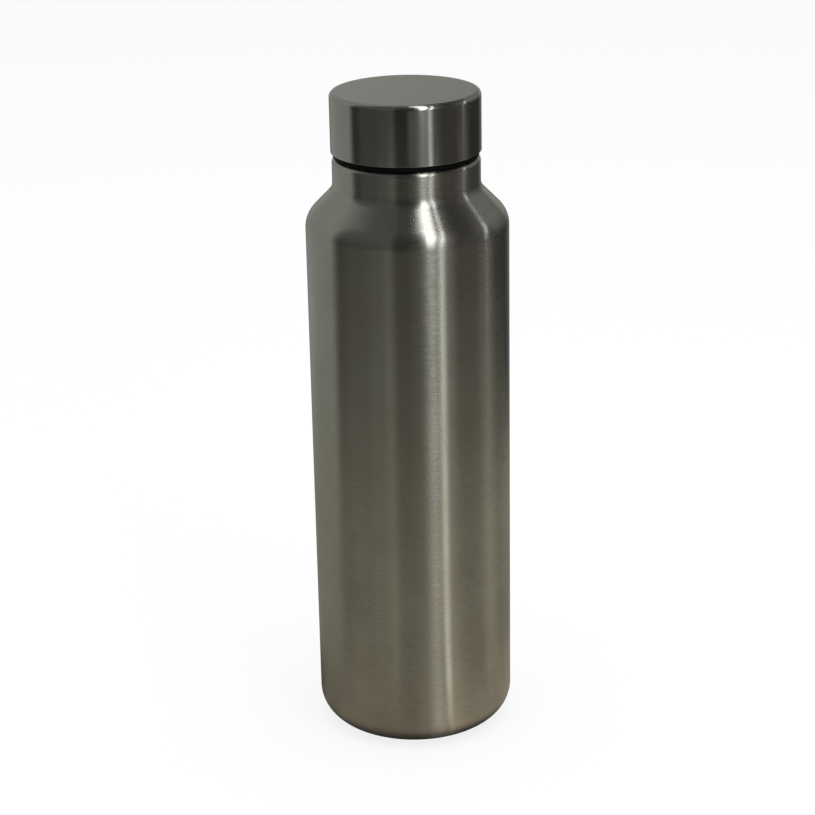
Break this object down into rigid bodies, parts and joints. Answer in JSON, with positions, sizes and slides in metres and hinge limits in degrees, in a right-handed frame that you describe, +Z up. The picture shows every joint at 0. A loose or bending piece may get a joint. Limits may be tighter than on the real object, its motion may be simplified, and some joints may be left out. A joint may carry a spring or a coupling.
{
  "type": "water bottle",
  "caption": "Slim single-wall steel water bottle with a round shoulder, a short neck and a steel-clad screw cap.",
  "frame": {"origin": "centre of the base, in the plane of the ring that the bottle stands on", "axes": "+Z up along the bottle's axis, from the base to the cap; +X and +Y are alike, because the bottle is round"},
  "size_m": [0.072, 0.072, 0.2385],
  "materials": {
    "body_steel": "stainless steel brushed round the body, with faint handling marks",
    "cap_steel": "stainless steel, brushed round the side and satin on the flat top",
    "black_plastic": "black moulded polypropylene, semi-matt",
    "clear_silicone": "milky silicone, matt"
  },
  "bodies": {
    "bottle": {"body_tube": "body_steel", "base_cup": "body_steel"},
    "seal": {"seal_ring": "clear_silicone"},
    "cap": {"cap_shell": "cap_steel", "cap_liner": "black_plastic"}
  },
  "joints": [
    {"name": "cap_rise", "type": "slide", "parent": "bottle", "child": "seal", "axis": [0, 0, 1], "range_m": [0, 0.02]},
    {"name": "cap_turn", "type": "hinge", "parent": "seal", "child": "cap", "pos_m": [0, 0, 0.2339], "axis": [0, 0, 1], "range_deg": [0, 1800]}
  ],
  "couplings": [
    {"joint": "cap_rise", "follows": "cap_turn", "m_per_rad": 0.00063662}
  ]
}
